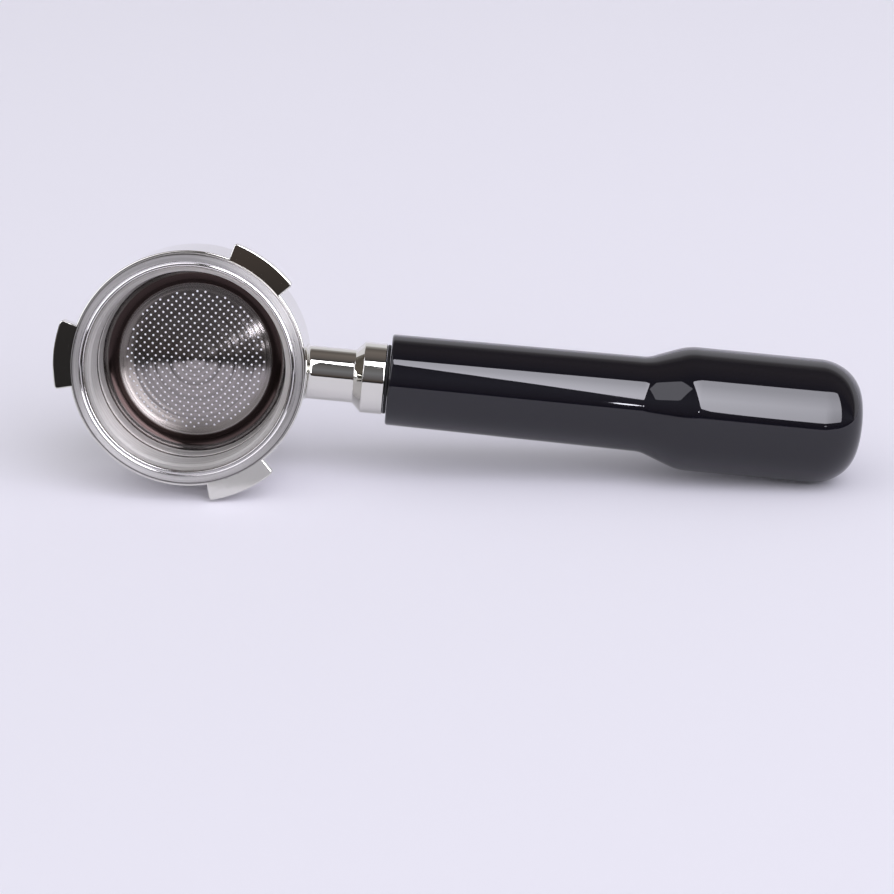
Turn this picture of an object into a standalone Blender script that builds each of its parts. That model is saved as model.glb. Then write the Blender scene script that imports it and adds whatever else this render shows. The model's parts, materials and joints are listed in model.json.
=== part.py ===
"""Bottomless portafilter, 51 mm class, lying on its side as it is set down on a counter.

Everything is designed upright in the frame of the basket: Z is the basket's axis with the
mouth at +Z, X runs out along the handle, and Z = 0 is the sealing face of the basket's flange.
One empty then tips the whole part onto its three resting points. Lengths are in metres.
"""
import math

import bmesh
import bpy
from mathutils import Matrix, Vector

MM = 0.001
GAP = 0.3 * MM                 # space left between pieces that touch

# Driving dimensions: filter basket
FLANGE_R = 30.5 * MM
FLANGE_THICKNESS = 0.9 * MM
MOUTH_R = 27.6 * MM            # where the flange turns down into the cup
WALL_R = 25.5 * MM             # inside of the cup, for a 51 mm tamper
FOOT_R = 24.9 * MM             # inside of the cup just above its bottom corner
ENTRY_DEPTH = 3.6 * MM
BEAD_DEPTH = 15.2 * MM         # pressed bead that the wire spring holds
BEAD_HEIGHT = 0.3 * MM
SCREEN_DEPTH = 23.5 * MM
SHEET = 0.6 * MM               # sheet thickness of the cup
CORNER_R = 2.9 * MM

# Driving dimensions: holder
RIM_R = 31.3 * MM
BORE_R = 27.1 * MM
RING_DEPTH = 29.0 * MM         # from the flange's face to the open underside
RING_EDGE = 1.0 * MM
GROOVE_R = 28.5 * MM
GROOVE_DEPTH = 13.3 * MM
GROOVE_WIDTH = 2.2 * MM
LUG_R = 35.6 * MM
LUG_HALF_ANGLE = math.radians(15.2)
LUG_THICKNESS = 4.6 * MM
LUG_LEAD = 1.3 * MM            # how much thinner a lug is at its leading end
LUG_ANGLES = [math.radians(a) for a in (59.2, 179.2, 299.2)]

# Driving dimensions: neck and handle, measured along X from the basket's axis
HANDLE_DEPTH = 20.5 * MM       # the handle's axis lies this far below the flange's face
NECK_R = 7.3 * MM
BOSS_END = 31.9 * MM
SPIGOT_R = 5.3 * MM
SPIGOT_START = 29.2 * MM
SHOULDER_START = 43.6 * MM
COLLAR_R = 9.7 * MM
COLLAR_END = 52.0 * MM
EDGE_BREAK = 0.4 * MM
STUD_R = 5.0 * MM
STUD_START = 38.0 * MM
STUD_END = 80.0 * MM
WASHER_R = 9.4 * MM
GRIP_START = 53.0 * MM
GRIP_FRONT_R = 12.4 * MM
GRIP_WAIST_R = 13.05 * MM
FLARE_START = 121.6 * MM
FLARE_END = 136.6 * MM
GRIP_EDGE = 0.7 * MM           # rounding of the grip's front edge
GRIP_R = 17.0 * MM
GRIP_END = 182.7 * MM
GRIP_CORNER_DEEP = 10.0 * MM   # the big corner at the end is a quarter ellipse: this far in
GRIP_CORNER_LONG = 12.0 * MM   # and this far along
GRIP_DOME = 0.8 * MM           # how far the end face stands out at its middle
INSERT_R = 6.8 * MM
INSERT_START = 53.6 * MM
INSERT_END = 84.0 * MM

# Driving dimension: wire spring
WIRE_R = 0.75 * MM
WIRE_RING_R = 27.45 * MM
WIRE_GAP = math.radians(7.0)   # the open ends of the spring

ROUND = 72                     # facets round the head
ROUND_HANDLE = 48              # facets round the handle


def clear_scene():
    for thing in list(bpy.data.objects):
        bpy.data.objects.remove(thing, do_unlink=True)


def finish(name, colour, roughness, metallic):
    """A plain material for one piece: linear colour, roughness and metallic value."""
    material = bpy.data.materials.new(name)
    material.use_nodes = True
    shader = material.node_tree.nodes["Principled BSDF"]
    shader.inputs["Base Color"].default_value = (*colour, 1.0)
    shader.inputs["Roughness"].default_value = roughness
    shader.inputs["Metallic"].default_value = metallic
    return material


def arc(centre, radius, start, end, steps):
    """Points on an arc in the plane of a profile, angles in degrees."""
    points = []
    for step in range(steps + 1):
        angle = math.radians(start + (end - start) * step / steps)
        points.append((centre[0] + radius * math.cos(angle), centre[1] + radius * math.sin(angle)))
    return points


def blend(start, end, steps):
    """An S-curve between two (radius, height) points, level at both ends."""
    points = []
    for step in range(steps + 1):
        t = step / steps
        ease = t * t * (3 - 2 * t)
        points.append((start[0] + (end[0] - start[0]) * ease, start[1] + (end[1] - start[1]) * t))
    return points


def turned_mesh(outline, facets):
    """A closed (radius, height) outline turned all the way round Z."""
    bm = bmesh.new()
    corners = [bm.verts.new((radius, 0, height)) for radius, height in outline]
    edges = [bm.edges.new((a, b)) for a, b in zip(corners, corners[1:] + corners[:1])]
    bmesh.ops.spin(bm, geom=corners + edges, cent=(0, 0, 0), axis=(0, 0, 1),
                   angle=math.tau, steps=facets, use_merge=True)
    bmesh.ops.remove_doubles(bm, verts=bm.verts, dist=0.001 * MM)
    bmesh.ops.dissolve_degenerate(bm, edges=bm.edges, dist=0.001 * MM)
    bmesh.ops.recalc_face_normals(bm, faces=bm.faces)
    return bm


def add_object(name, bm, material=None, parent=None):
    mesh = bpy.data.meshes.new(name)
    bm.to_mesh(mesh)
    bm.free()
    mesh.shade_smooth()
    mesh.set_sharp_from_angle(angle=math.radians(35))
    thing = bpy.data.objects.new(name, mesh)
    bpy.context.scene.collection.objects.link(thing)
    if material:
        mesh.materials.append(material)
    if parent:
        thing.parent = parent
    return thing


def add_cutter(name, bm, parent):
    cutter = add_object(name, bm, parent=parent)
    cutter.hide_render = True
    cutter.display_type = "WIRE"
    return cutter


def combine(thing, other, operation):
    modifier = thing.modifiers.new(other.name, "BOOLEAN")
    modifier.operation = operation
    modifier.object = other


def round_bar(radius, start, end, facets):
    """A plain bar along X on the handle's axis."""
    bm = turned_mesh([(0, start), (radius, start), (radius, end), (0, end)], facets)
    bmesh.ops.transform(bm, matrix=along_handle(), verts=bm.verts)
    return bm


def along_handle():
    """Moves a shape turned round Z onto the handle's axis."""
    return Matrix.Translation((0, 0, -HANDLE_DEPTH)) @ Matrix.Rotation(math.pi / 2, 4, "Y")


def rim_top():
    return -FLANGE_THICKNESS - GAP


def holder_outline():
    top = rim_top()
    bottom = -RING_DEPTH
    groove_top = -GROOVE_DEPTH + GROOVE_WIDTH / 2
    groove_bottom = -GROOVE_DEPTH - GROOVE_WIDTH / 2
    outline = [(BORE_R + 0.5 * MM, top), (BORE_R, top - 0.5 * MM)]
    outline += [(BORE_R, groove_top), (GROOVE_R, groove_top)]
    outline += [(GROOVE_R, groove_bottom), (BORE_R, groove_bottom)]
    outline += [(BORE_R, bottom + 0.7 * MM), (BORE_R + 0.7 * MM, bottom)]
    outline += arc((RIM_R - RING_EDGE, bottom + RING_EDGE), RING_EDGE, -90, 0, 4)
    outline += [(RIM_R, top - EDGE_BREAK), (RIM_R - EDGE_BREAK, top)]
    return outline


def lug_mesh(middle):
    """One bayonet lug: a sector that is thinner at the end that enters the machine first."""
    steps = 10
    bm = bmesh.new()
    inner = (BORE_R + GROOVE_R) / 2 + 1.0 * MM
    sections = []
    for step in range(steps + 1):
        t = step / steps
        angle = middle + LUG_HALF_ANGLE * (2 * t - 1)
        lead = max(0.0, (t - 0.55) / 0.45)
        underside = rim_top() - LUG_THICKNESS + LUG_LEAD * lead
        ring = []
        for radius, height in ((inner, underside), (LUG_R, underside), (LUG_R, rim_top()), (inner, rim_top())):
            ring.append(bm.verts.new((radius * math.cos(angle), radius * math.sin(angle), height)))
        sections.append(ring)
    for a, b in zip(sections, sections[1:]):
        for side in range(4):
            following = (side + 1) % 4
            bm.faces.new((a[side], a[following], b[following], b[side]))
    bm.faces.new(sections[0])
    bm.faces.new(sections[-1])
    bmesh.ops.recalc_face_normals(bm, faces=bm.faces)
    return bm


def make_holder(stand):
    """The ring with its three lugs and the boss that takes the neck."""
    chrome = finish("chromed_brass", (0.80, 0.80, 0.82), 0.08, 1.0)
    ring = add_object("holder_ring", turned_mesh(holder_outline(), ROUND), chrome, stand)
    for number, angle in enumerate(LUG_ANGLES):
        combine(ring, add_cutter("lug_shape_%d" % number, lug_mesh(angle), stand), "UNION")
    boss = round_bar(NECK_R, BORE_R + 1.5 * MM, BOSS_END, ROUND_HANDLE)
    combine(ring, add_cutter("boss_shape", boss, stand), "UNION")
    socket = round_bar(SPIGOT_R + GAP, SPIGOT_START - GAP, BOSS_END + 5 * MM, 32)
    combine(ring, add_cutter("socket_shape", socket, stand), "DIFFERENCE")


def make_neck(stand):
    """The turned neck, its shoulder and collar, with a blind bore for the stud."""
    chrome = finish("chromed_neck", (0.78, 0.78, 0.80), 0.08, 1.0)
    shoulder_end = SHOULDER_START + COLLAR_R - NECK_R
    bore = STUD_R + GAP
    outline = [(0, SPIGOT_START), (SPIGOT_R, SPIGOT_START), (SPIGOT_R, BOSS_END + GAP)]
    outline += [(NECK_R, BOSS_END + GAP), (NECK_R, SHOULDER_START), (COLLAR_R, shoulder_end)]
    outline += [(COLLAR_R, COLLAR_END - EDGE_BREAK), (COLLAR_R - EDGE_BREAK, COLLAR_END)]
    outline += [(bore, COLLAR_END), (bore, STUD_START - GAP), (0, STUD_START - GAP)]
    bm = turned_mesh(outline, ROUND_HANDLE)
    bmesh.ops.transform(bm, matrix=along_handle(), verts=bm.verts)
    add_object("holder_neck", bm, chrome, stand)


def make_stud(stand):
    steel = finish("zinc_plated_steel", (0.55, 0.55, 0.53), 0.35, 1.0)
    chamfer = 0.8 * MM
    outline = [(0, STUD_START), (STUD_R - chamfer, STUD_START), (STUD_R, STUD_START + chamfer)]
    outline += [(STUD_R, STUD_END - chamfer), (STUD_R - chamfer, STUD_END), (0, STUD_END)]
    bm = turned_mesh(outline, 32)
    bmesh.ops.transform(bm, matrix=along_handle(), verts=bm.verts)
    add_object("handle_stud", bm, steel, stand)


def make_washer(stand):
    """The black washer squeezed between the collar and the grip."""
    rubber = finish("black_washer", (0.012, 0.012, 0.012), 0.6, 0.0)
    start = COLLAR_END + GAP
    end = GRIP_START - GAP
    hole = STUD_R + GAP
    bm = turned_mesh([(hole, start), (WASHER_R, start), (WASHER_R, end), (hole, end)], ROUND_HANDLE)
    bmesh.ops.transform(bm, matrix=along_handle(), verts=bm.verts)
    add_object("handle_washer", bm, rubber, stand)


def make_insert(stand):
    """The brass nut moulded into the grip: two waisted rings keep it from pulling out."""
    brass = finish("brass", (0.60, 0.42, 0.17), 0.35, 1.0)
    bore = STUD_R + GAP
    waist = INSERT_R - 0.8 * MM
    length = INSERT_END - INSERT_START
    outline = [(bore, INSERT_START), (INSERT_R, INSERT_START)]
    for share in (0.30, 0.62):
        groove = INSERT_START + share * length
        outline += [(INSERT_R, groove - 1.5 * MM), (waist, groove - 1.0 * MM)]
        outline += [(waist, groove + 1.0 * MM), (INSERT_R, groove + 1.5 * MM)]
    outline += [(INSERT_R, INSERT_END), (bore, INSERT_END)]
    bm = turned_mesh(outline, 32)
    bmesh.ops.transform(bm, matrix=along_handle(), verts=bm.verts)
    add_object("handle_insert", bm, brass, stand)


def grip_corner_centre():
    """Radius and place along X of the centre of the corner where the grip's side meets its end."""
    return GRIP_R - GRIP_CORNER_DEEP, GRIP_END - GRIP_DOME - GRIP_CORNER_LONG


def grip_outline():
    bore = INSERT_R + GAP
    outline = [(0, INSERT_END + GAP), (bore, INSERT_END + GAP), (bore, GRIP_START)]
    outline += arc((GRIP_FRONT_R - GRIP_EDGE, GRIP_START + GRIP_EDGE), GRIP_EDGE, -90, 0, 4)
    outline += blend((GRIP_WAIST_R, FLARE_START), (GRIP_R, FLARE_END), 10)
    middle_r, middle_x = grip_corner_centre()
    steps = 9
    for step in range(steps + 1):
        angle = math.radians(82) * step / steps
        outline.append((middle_r + GRIP_CORNER_DEEP * math.cos(angle), middle_x + GRIP_CORNER_LONG * math.sin(angle)))
    last_r, last_x = outline[-1]
    for share in (0.75, 0.5, 0.25):
        outline.append((last_r * share, GRIP_END - (GRIP_END - last_x) * share * share))
    outline.append((0, GRIP_END))
    return outline


def make_grip(stand):
    black = finish("gloss_black_plastic", (0.008, 0.008, 0.009), 0.06, 0.0)
    bm = turned_mesh(grip_outline(), ROUND_HANDLE)
    bmesh.ops.transform(bm, matrix=along_handle(), verts=bm.verts)
    add_object("handle_grip", bm, black, stand)


def basket_inside():
    """The inside of the cup from the flange down to the middle of the screen."""
    drop = SCREEN_DEPTH
    wall = [(WALL_R, -ENTRY_DEPTH)]
    wall += [(WALL_R - 0.05 * MM, -BEAD_DEPTH + 0.7 * MM), (WALL_R + BEAD_HEIGHT - 0.05 * MM, -BEAD_DEPTH)]
    wall += [(WALL_R - 0.1 * MM, -BEAD_DEPTH - 0.7 * MM)]
    entry = []
    for step in range(5):
        t = step / 5
        radius = WALL_R + (MOUTH_R - WALL_R) * (1 - math.sin(t * math.pi / 2))
        height = -ENTRY_DEPTH * (1 - math.cos(t * math.pi / 2))
        entry.append((radius, height))
    corner = arc((FOOT_R - CORNER_R, -drop + CORNER_R), CORNER_R, 0, -90, 5)
    return entry + wall + corner + [(0, -drop)]


def basket_outline():
    """The inside profile and the same profile one sheet thickness further out."""
    inside = basket_inside()
    outside = []
    for index, point in enumerate(inside[1:-1], start=1):
        before = Vector(inside[index - 1])
        after = Vector(inside[index + 1])
        along = (after - before).normalized()
        outward = Vector((-along.y, along.x))
        outside.append((point[0] + outward.x * SHEET, point[1] + outward.y * SHEET))
    outside = [point for point in outside if point[1] < -FLANGE_THICKNESS - 0.1 * MM]
    outline = inside + [(0, -SCREEN_DEPTH - SHEET)] + outside[::-1]
    neck_r = outline[-1][0]
    outline += [(neck_r + 0.15 * MM, -FLANGE_THICKNESS), (FLANGE_R - 0.2 * MM, -FLANGE_THICKNESS)]
    outline += [(FLANGE_R, -FLANGE_THICKNESS / 2), (FLANGE_R - 0.2 * MM, 0)]
    return outline


def make_basket(lift):
    steel = finish("stainless_sheet", (0.56, 0.56, 0.56), 0.28, 1.0)
    bm = turned_mesh(basket_outline(), ROUND)
    add_object("filter_basket", bm, steel, lift)


def make_spring(turn):
    """The open wire ring that snaps over the basket's bead."""
    wire = finish("spring_steel", (0.50, 0.50, 0.50), 0.25, 1.0)
    bm = bmesh.new()
    steps = 64
    sides = 8
    sections = []
    for step in range(steps + 1):
        angle = math.pi / 2 + WIRE_GAP / 2 + (math.tau - WIRE_GAP) * step / steps
        section = []
        for side in range(sides):
            around = math.tau * side / sides
            radius = WIRE_RING_R + WIRE_R * math.cos(around)
            height = -GROOVE_DEPTH + WIRE_R * math.sin(around)
            section.append(bm.verts.new((radius * math.cos(angle), radius * math.sin(angle), height)))
        sections.append(section)
    for a, b in zip(sections, sections[1:]):
        for side in range(sides):
            following = (side + 1) % sides
            bm.faces.new((a[side], b[side], b[following], a[following]))
    bm.faces.new(sections[0])
    bm.faces.new(sections[-1])
    bmesh.ops.recalc_face_normals(bm, faces=bm.faces)
    add_object("basket_spring", bm, wire, turn)


def resting_heights(up):
    """How far the three resting points lie along the floor's normal, in the design's frame."""
    lug_angle = LUG_ANGLES[2] - LUG_HALF_ANGLE
    lug = Vector((LUG_R * math.cos(lug_angle), LUG_R * math.sin(lug_angle), rim_top() - LUG_THICKNESS))
    ring_circle = RIM_R - RING_EDGE
    ring = up.z * (-RING_DEPTH + RING_EDGE) - ring_circle * math.hypot(up.x, up.y) - RING_EDGE
    corner_r, corner_x = grip_corner_centre()
    aside = math.hypot(up.y, up.z)
    corner = math.hypot(GRIP_CORNER_DEEP * aside, GRIP_CORNER_LONG * up.x)
    grip = up.x * corner_x - up.z * HANDLE_DEPTH - corner_r * aside - corner
    return lug.dot(up), ring, grip


def resting_angles():
    """The mouth's upward tilt and the handle's drop that bring all three points to one level."""
    tilt, drop = 0.15, 0.08
    step = 1e-4

    def errors(tilt, drop):
        up = stand_matrix(tilt, drop).transposed() @ Vector((0, 0, 1))
        lug, ring, grip = resting_heights(up)
        return Vector((lug - ring, lug - grip))

    for _ in range(12):
        here = errors(tilt, drop)
        by_tilt = (errors(tilt + step, drop) - here) / step
        by_drop = (errors(tilt, drop + step) - here) / step
        slope = Matrix(((by_tilt.x, by_drop.x), (by_tilt.y, by_drop.y)))
        change = slope.inverted() @ here
        tilt -= change.x
        drop -= change.y
    return tilt, drop


def stand_matrix(tilt, drop):
    return Matrix.Rotation(drop, 3, "Y") @ Matrix.Rotation(math.pi / 2 - tilt, 3, "X")


def put_on_origin(stand):
    """Stands the part on Z = 0 with the middle of its box over the origin."""
    bpy.context.view_layer.update()
    graph = bpy.context.evaluated_depsgraph_get()
    corners = []
    for thing in bpy.context.scene.objects:
        if thing.type != "MESH" or thing.hide_render:
            continue
        seen = thing.evaluated_get(graph)
        corners += [seen.matrix_world @ vertex.co for vertex in seen.data.vertices]
    low = Vector([min(corner[axis] for corner in corners) for axis in range(3)])
    high = Vector([max(corner[axis] for corner in corners) for axis in range(3)])
    stand.location -= Vector(((low.x + high.x) / 2, (low.y + high.y) / 2, low.z))


def add_empty(name, parent=None, place=(0, 0, 0)):
    empty = bpy.data.objects.new(name, None)
    bpy.context.scene.collection.objects.link(empty)
    empty.parent = parent
    empty.location = place
    return empty


def build():
    clear_scene()
    stand = add_empty("stand")
    tilt, drop = resting_angles()
    stand.rotation_euler = stand_matrix(tilt, drop).to_euler("XYZ")
    basket_turn = add_empty("basket_turn", stand)
    basket_lift = add_empty("basket_lift", basket_turn)
    make_holder(stand)
    make_neck(stand)
    make_stud(stand)
    make_washer(stand)
    make_insert(stand)
    make_grip(stand)
    make_spring(basket_turn)
    make_basket(basket_lift)
    put_on_origin(stand)


build()
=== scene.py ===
"""Looks of a bottomless portafilter lying on its side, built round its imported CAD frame.

Shapes are worked out in millimetres in the basket's own frame: Z is the basket's axis with the
mouth at +Z and the flange's face at 0, and X runs out along the handle. One matrix, read from the
joint that the basket turns on, puts them in place.
"""

import json
import math

import bmesh
import bpy
import numpy as np
from mathutils import Matrix, Vector


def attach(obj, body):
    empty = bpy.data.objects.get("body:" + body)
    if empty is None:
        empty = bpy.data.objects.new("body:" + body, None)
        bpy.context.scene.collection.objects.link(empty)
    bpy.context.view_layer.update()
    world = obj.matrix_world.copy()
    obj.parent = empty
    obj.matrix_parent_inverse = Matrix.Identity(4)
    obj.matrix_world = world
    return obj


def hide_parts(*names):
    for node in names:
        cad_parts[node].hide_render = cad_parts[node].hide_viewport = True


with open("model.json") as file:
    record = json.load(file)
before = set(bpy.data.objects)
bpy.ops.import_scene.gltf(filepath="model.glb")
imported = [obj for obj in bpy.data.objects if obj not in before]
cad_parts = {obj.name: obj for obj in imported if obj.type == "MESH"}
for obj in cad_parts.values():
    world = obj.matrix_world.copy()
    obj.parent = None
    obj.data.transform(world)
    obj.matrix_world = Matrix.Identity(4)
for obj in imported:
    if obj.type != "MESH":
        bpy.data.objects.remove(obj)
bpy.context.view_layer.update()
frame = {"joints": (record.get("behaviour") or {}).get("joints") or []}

MM = 0.001

# Filter basket
FLANGE_R = 30.5
FLANGE_THICKNESS = 0.9
FLANGE_LINE_R = 28.15
MOUTH_R = 27.35
SHEET = 0.6
WALL_R = 25.5
FOOT_R = 24.9
BEAD_DEPTH = 15.2
SCREEN_DEPTH = 23.5
CORNER_R = 2.9
SCREEN_LINE_R = 20.8
HOLE_PITCH = 1.55
HOLE_R = 0.30
FIELD_R = 18.9

# Holder
RIM_TOP = -1.2
RIM_R = 31.3
BORE_R = 27.1
RING_DEPTH = 29.0
GROOVE_R = 28.5
GROOVE_DEPTH = 13.3
GROOVE_WIDTH = 2.2
LUG_R = 35.6
LUG_HALF_ANGLE = 15.2
LUG_THICKNESS = 4.6
LUG_LEAD = 1.3
LUG_ANGLES = (59.2, 179.2, 299.2)

# Neck and handle, along X from the basket's axis
HANDLE_DEPTH = 20.5
NECK_R = 7.3
SPIGOT_R = 5.3
SPIGOT_START = 29.2
SHOULDER_START = 43.6
COLLAR_R = 9.7
COLLAR_END = 52.0
STUD_R = 5.0
STUD_START = 38.0
STUD_END = 80.0
WASHER_R = 9.4
GRIP_START = 53.0
GRIP_EDGE = 0.7
GRIP_FRONT_R = 12.4
GRIP_WAIST_R = 13.05
FLARE_START = 121.6
FLARE_END = 136.6
FLARE_CONE = 20.5
FLARE_FOOT_R = 8.6
GRIP_R = 17.0
GRIP_END = 182.7
GRIP_CORNER_DEEP = 10.0
GRIP_CORNER_LONG = 12.0
GRIP_DOME = 0.8
GAP = 0.3
INSERT_R = 6.8
INSERT_START = 53.6
INSERT_END = 84.0

# Wire spring
WIRE_R = 0.75
WIRE_RING_R = 27.45
WIRE_GAP = 7.0


# ---------------------------------------------------------------- places and meshes

def basket_frame():
    """The matrix from millimetres in the basket's frame to the row frame."""
    turn = next(joint for joint in frame["joints"] if joint["name"] == "basket_turn")
    mouth = Vector(turn["axis"]).normalized()
    along = Vector((mouth.z, 0.0, -mouth.x)).normalized()
    across = mouth.cross(along)
    place = Matrix((along, across, mouth)).transposed().to_4x4()
    place.translation = Vector(turn["pos_m"])
    return place


PLACE = basket_frame()
TO_ROW = PLACE @ Matrix.Scale(MM, 4)
ON_HANDLE = Matrix.Translation((0, 0, -HANDLE_DEPTH)) @ Matrix.Rotation(math.pi / 2, 4, "Y")


def softened(corners, steps=5):
    """An outline whose corners (radius, height, rounding) become arcs with a support point each side."""
    points = []
    count = len(corners)
    for index, (r, h, rounding) in enumerate(corners):
        here = Vector((r, h))
        before = Vector(corners[index - 1][:2]) - here
        after = Vector(corners[(index + 1) % count][:2]) - here
        if rounding <= 0 or before.length < 1e-9 or after.length < 1e-9:
            points.append((r, h))
            continue
        before.normalize()
        after.normalize()
        half = before.angle(after) / 2
        reach = rounding / math.tan(half)
        centre = here + (before + after).normalized() * (rounding / math.sin(half))
        start = here + before * reach
        end = here + after * reach
        support = rounding * 0.35
        points.append(tuple(start + before * support))
        first = start - centre
        sweep = math.pi - 2 * half
        turn = 1.0 if first.x * (end - centre).y - first.y * (end - centre).x > 0 else -1.0
        for step in range(steps + 1):
            angle = turn * sweep * step / steps
            points.append(tuple(centre + Matrix.Rotation(angle, 2) @ first))
        points.append(tuple(end + after * support))
    return points


def arc(centre, radius, start, end, steps):
    angles = np.radians(np.linspace(start, end, steps + 1))
    return [(centre[0] + radius * math.cos(a), centre[1] + radius * math.sin(a)) for a in angles]


def flare(start, end, steps):
    """From one (radius, height) point up to another: a hollow arc, a straight cone and a round arc."""
    slope = math.radians(FLARE_CONE)
    rise = end[0] - start[0]
    length = end[1] - start[1]
    # the round arc's radius that makes the three parts end level at the far point
    drop = 1 - math.cos(slope)
    head_r = (length * math.tan(slope) - rise) / (math.sin(slope) * math.tan(slope) - drop) - FLARE_FOOT_R
    points = []
    for angle in np.linspace(0, slope, steps + 1):
        out = FLARE_FOOT_R * (1 - math.cos(angle))
        points.append((start[0] + out, start[1] + FLARE_FOOT_R * math.sin(angle)))
    for angle in np.linspace(slope, 0, steps + 1):
        points.append((end[0] - head_r * (1 - math.cos(angle)), end[1] - head_r * math.sin(angle)))
    foot, head = points[steps], points[steps + 1]
    cone = []
    for t in np.linspace(0, 1, 8)[1:-1]:
        cone.append((foot[0] + (head[0] - foot[0]) * t, foot[1] + (head[1] - foot[1]) * t))
    return points[:steps + 1] + cone + points[steps + 1:]


def lofted(loops, ring=False):
    """Closed loops of points joined one to the next. A single point closes an end."""
    bm = bmesh.new()
    rows = [[bm.verts.new(point) for point in loop] for loop in loops]
    pairs = list(zip(rows, rows[1:]))
    if ring:
        pairs.append((rows[-1], rows[0]))
    for a, b in pairs:
        count = max(len(a), len(b))
        for i in range(count):
            j = (i + 1) % count
            corners = [a[i % len(a)], a[j % len(a)], b[j % len(b)], b[i % len(b)]]
            unique = list(dict.fromkeys(corners))
            if len(unique) > 2:
                bm.faces.new(unique)
    bmesh.ops.recalc_face_normals(bm, faces=bm.faces)
    return bm


def turned(outline, facets):
    """A (radius, height) outline turned about Z. It closes on itself unless both ends are on the axis."""
    angles = np.linspace(0, math.tau, facets, endpoint=False)
    loops = []
    for r, h in outline:
        if r < 1e-6:
            loops.append([(0.0, 0.0, h)])
        else:
            loops.append([(r * math.cos(a), r * math.sin(a), h) for a in angles])
    on_axis = len(loops[0]) == 1 and len(loops[-1]) == 1
    return lofted(loops, ring=not on_axis)


def finished(name, bm, material, sharp=32.0, place=Matrix.Identity(4)):
    """An object at the origin with the mesh put in place, smooth but for its real edges."""
    bm.transform(TO_ROW @ place)
    mesh = bpy.data.meshes.new(name)
    bm.to_mesh(mesh)
    bm.free()
    mesh.shade_smooth()
    mesh.set_sharp_from_angle(angle=math.radians(sharp))
    mesh.materials.append(material)
    piece = bpy.data.objects.new(name, mesh)
    bpy.context.scene.collection.objects.link(piece)
    return piece


def keep_flats_flat(piece):
    """Faces square to the basket's axis are shaded flat, so that round edges beside them don't bend them."""
    mouth = PLACE.col[2].xyz
    for face in piece.data.polygons:
        if abs(face.normal.dot(mouth)) > 0.9999:
            face.use_smooth = False


def settled(piece, sharp):
    """The piece with its modifiers worked into a plain mesh."""
    graph = bpy.context.evaluated_depsgraph_get()
    mesh = bpy.data.meshes.new_from_object(piece.evaluated_get(graph))
    piece.modifiers.clear()
    old = piece.data
    piece.data = mesh
    bpy.data.meshes.remove(old)
    mesh.name = piece.name
    mesh.shade_smooth()
    mesh.set_sharp_from_angle(angle=math.radians(sharp))
    return piece


def joined_solid(name, base, others, material, sharp=32.0):
    """base with the other solids added or cut: others are (bmesh, operation) in the basket's frame."""
    piece = finished(name, base, material, sharp)
    tools = []
    for number, (bm, operation) in enumerate(others):
        tool = finished("%s_tool_%d" % (name, number), bm, material, sharp)
        modifier = piece.modifiers.new(tool.name, "BOOLEAN")
        modifier.operation = operation
        modifier.object = tool
        tools.append(tool)
    settled(piece, sharp)
    keep_flats_flat(piece)
    for tool in tools:
        bpy.data.objects.remove(tool, do_unlink=True)
    return piece


# ---------------------------------------------------------------- materials

def linear(hex_colour):
    """An sRGB hex colour as linear RGBA."""
    values = [int(hex_colour[i:i + 2], 16) / 255 for i in (0, 2, 4)]
    return tuple(v / 12.92 if v <= 0.04045 else ((v + 0.055) / 1.055) ** 2.4 for v in values) + (1.0,)


def add(tree, kind, inputs=None, stops=None, **settings):
    """Adds a node with its settings, its input values or links, and its colour stops."""
    made = tree.nodes.new(kind)
    for key, value in settings.items():
        setattr(made, key, value)
    for key, value in (inputs or {}).items():
        if isinstance(value, bpy.types.NodeSocket):
            tree.links.new(value, made.inputs[key])
        else:
            made.inputs[key].default_value = value
    if stops:
        ramp = made.color_ramp.elements
        while len(ramp) < len(stops):
            ramp.new(0.5)
        for element, (position, colour) in zip(ramp, stops):
            element.position = position
            element.color = colour if len(colour) == 4 else linear(colour)
    return made


def grey(value):
    return (value, value, value, 1.0)


def surface(name, **shader_inputs):
    """A material with its Principled shader, and the coordinates in the basket's frame in millimetres."""
    material = bpy.data.materials.new(name)
    material.use_nodes = True
    tree = material.node_tree
    shader = tree.nodes["Principled BSDF"]
    for key, value in shader_inputs.items():
        shader.inputs[key.replace("_", " ").title().replace("Ior", "IOR")].default_value = value
    where = add(tree, "ShaderNodeTexCoord")
    place = add(tree, "ShaderNodeMapping", {
        "Vector": where.outputs["Object"],
        "Location": PLACE.translation,
        "Rotation": PLACE.to_euler("XYZ"),
        "Scale": (MM, MM, MM),
    }, vector_type="TEXTURE")
    return material, tree, shader, place.outputs["Vector"]


def chrome_plate(name, gloss, waviness):
    """Bright chromium plate over polished brass: a cool mirror with a faint swell and fine hairlines."""
    material, tree, shader, mm = surface(name, metallic=1.0)
    shader.inputs["Base Color"].default_value = linear("DFDED7")
    swell = add(tree, "ShaderNodeTexNoise", {"Vector": mm, "Scale": 0.16, "Detail": 2.0})
    haze = add(tree, "ShaderNodeTexNoise", {"Vector": mm, "Scale": 0.9, "Detail": 6.0, "Roughness": 0.65})
    rough = add(tree, "ShaderNodeValToRGB", {"Fac": haze.outputs["Fac"]},
                stops=[(0.35, grey(gloss)), (0.75, grey(gloss * 2.2))])
    tree.links.new(rough.outputs["Color"], shader.inputs["Roughness"])
    bump = add(tree, "ShaderNodeBump", {
        "Height": swell.outputs["Fac"], "Strength": waviness, "Distance": 0.1 * MM,
    })
    tree.links.new(bump.outputs["Normal"], shader.inputs["Normal"])
    return material


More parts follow.
